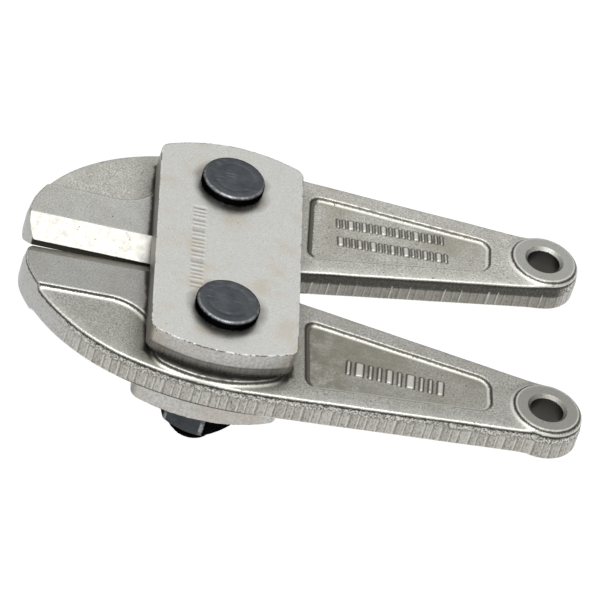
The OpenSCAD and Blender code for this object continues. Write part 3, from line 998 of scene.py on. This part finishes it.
def black_oxide():
    """Blackened steel: deep black sides, tops worn to a blue grey, the nut's faces given painted light
    and shade, and a painted highlight along the rounded edges.
    """
    s = Shader("black_oxide_steel")
    fine = s.noise(0.4, 4, 0.65)
    cloud = s.noise(4, 3, 0.6, shift=6)
    rub = s.noise(1.4, 4, 0.65, shift=13)
    scratch = s.noise(1.2, 2, 0.5, stretch=(0.25, 2.2, 1), shift=2)
    bend, rubbed = s.attribute("bend"), s.attribute("rubbed")
    deep = s.mix(s.ramp(cloud, 0.3, 0.7), (0.002, 0.002, 0.002), (0.005, 0.005, 0.005))
    s.plug(s.surface.inputs["Specular Tint"], (0.3, 0.3, 0.3))
    top = s.mix(s.ramp(cloud, 0.3, 0.7), (0.075, 0.082, 0.090), (0.115, 0.124, 0.133))
    top = s.mix(s.ramp(scratch, 0.63, 0.70, 0, 0.5), top, (0.24, 0.25, 0.26))
    # Worn head tops and the nut's faces take the lighter blue grey; on the nut this is painted light
    # and shade per face
    colour = s.mix(rubbed, deep, top)
    # Painted highlight along the rounded edges of the heads and the nut's corners, broken up by noise
    edge_highlight = s.times(s.band(bend, 0.2, 0.5, 0.75, 0.95), s.ramp(rub, 0.38, 0.62, 0.1, 0.9))
    colour = s.mix(edge_highlight, colour, (0.34, 0.35, 0.36))
    rough = s.ramp(fine, 0.25, 0.75, 0.34, 0.5)
    normal = s.bump(fine, 0.2, 0.03)
    return s.finish(colour, rough, normal, metallic=1.0)


def floor_paint():
    s = Shader("floor_paint")
    colour = s.mix(s.ramp(s.noise(400, 2, 0.5), 0.2, 0.8), (0.05, 0.05, 0.05), (0.06, 0.06, 0.06))
    spread = s.add("ShaderNodeVectorMath", operation="LENGTH")
    s.plug(spread.inputs[0], s.place)
    s.plug(s.surface.inputs["Emission Color"], (1.0, 1.0, 1.0))
    s.plug(s.surface.inputs["Emission Strength"], s.ramp(spread.outputs["Value"], 0.4, 2.0, 1.0, 0.3))
    s.plug(s.surface.inputs["Specular IOR Level"], 0.0)
    return s.finish(colour, 1.0, metallic=0.0)


# ---------------------------------------------------------------- studio
# The floor lies just below the bolt ends, so that the two faces don't coincide
FLOOR_DROP = 0.0003


def floor():
    mesh = bpy.data.meshes.new("floor")
    half = 6
    corners = [(-half, -half, 0), (half, -half, 0), (half, half, 0), (-half, half, 0)]
    mesh.from_pydata(corners, [], [(0, 1, 2, 3)])
    obj = new_object("floor", mesh)
    obj.location.z = -FLOOR_DROP
    mesh.materials.append(floor_paint())


def soft_box(name, place, aim, size, energy):
    light = bpy.data.lights.new(name, "AREA")
    light.energy = energy
    light.shape = "RECTANGLE"
    light.size, light.size_y = size
    obj = bpy.data.objects.new(name, light)
    bpy.context.scene.collection.objects.link(obj)
    obj.location = place
    obj.rotation_euler = (Vector(aim) - Vector(place)).to_track_quat("-Z", "Y").to_euler()


def sky():
    """White studio air: bright overhead, dimmer towards the horizon."""
    world = bpy.data.worlds.new("studio")
    bpy.context.scene.world = world
    world.use_nodes = True
    tree = world.node_tree
    nodes, links = tree.nodes, tree.links
    direction = nodes.new("ShaderNodeTexCoord").outputs["Generated"]
    split = nodes.new("ShaderNodeSeparateXYZ")
    links.new(direction, split.inputs[0])
    glow = nodes.new("ShaderNodeMapRange")
    links.new(split.outputs["Z"], glow.inputs["Value"])
    glow.inputs["From Min"].default_value = 0.1
    glow.inputs["From Max"].default_value = 0.9
    glow.inputs["To Min"].default_value = 0.25
    glow.inputs["To Max"].default_value = 1.2
    links.new(glow.outputs["Result"], nodes["Background"].inputs["Strength"])
    nodes["Background"].inputs["Color"].default_value = (1, 1, 1, 1)


CAMERA_AZIMUTH, CAMERA_ELEVATION, CAMERA_ROLL = 10.93, 40.11, 18.37
CAMERA_DISTANCE, CAMERA_LENS = 1.5994, 325.8
CAMERA_AIM = (22.0, -17.3)


def camera():
    """Long lens that looks down at the head from the lower jaw's side."""
    az, el = math.radians(CAMERA_AZIMUTH), math.radians(CAMERA_ELEVATION)
    roll = math.radians(CAMERA_ROLL)
    forward = Vector((math.sin(az) * math.cos(el), math.cos(az) * math.cos(el), -math.sin(el)))
    level = Vector((math.cos(az), -math.sin(az), 0))
    upright = level.cross(forward)
    right = level * math.cos(roll) + upright * math.sin(roll)
    up = upright * math.cos(roll) - level * math.sin(roll)
    aim = Vector((PIVOT_X + CAMERA_AIM[0], CAMERA_AIM[1], FRONT_HI[2])) * MM
    data = bpy.data.cameras.new("camera")
    data.sensor_width = 36
    data.lens = CAMERA_LENS
    data.clip_start, data.clip_end = 0.1, 20
    obj = bpy.data.objects.new("camera", data)
    bpy.context.scene.collection.objects.link(obj)
    matrix = Matrix((right, up, -forward)).transposed().to_4x4()
    matrix.translation = aim - forward * CAMERA_DISTANCE
    obj.matrix_world = matrix
    bpy.context.scene.camera = obj


def studio():
    camera()
    floor()
    sky()
    soft_box("overhead", (-0.1, -0.45, 1.3), (0, 0, 0), (1.2, 0.8), 10)
    bpy.context.scene.view_settings.view_transform = "Standard"


# ---------------------------------------------------------------- assembly
def place(obj, material, body, node, slot):
    obj.data.materials.clear()
    obj.data.materials.append(material)
    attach(obj, body)
    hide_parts(node)


OUTLINE_MAPS = outline_maps(jaw_outline())
studio()
satin, black = plate_steel(), black_oxide()
forged = {"upper": jaw_steel("upper", 1.0), "lower": jaw_steel("lower", 0.78)}
place(side_plate("front_plate_body", True), satin, "side_plates", "front_side_plate", "plate_steel")
place(side_plate("rear_plate_body", False), satin, "side_plates", "rear_side_plate", "plate_steel")
for side, sign in (("upper", 1), ("lower", -1)):
    place(jaw(side), forged[side], side + "_jaw", side + "_jaw", "jaw_steel")
    place(pivot_bolt(side, sign, 1 + sign), black, "side_plates", side + "_pivot_bolt", "black_oxide")
    place(pivot_nut(side, sign, 4 + sign), black, "side_plates", side + "_pivot_nut", "black_oxide")
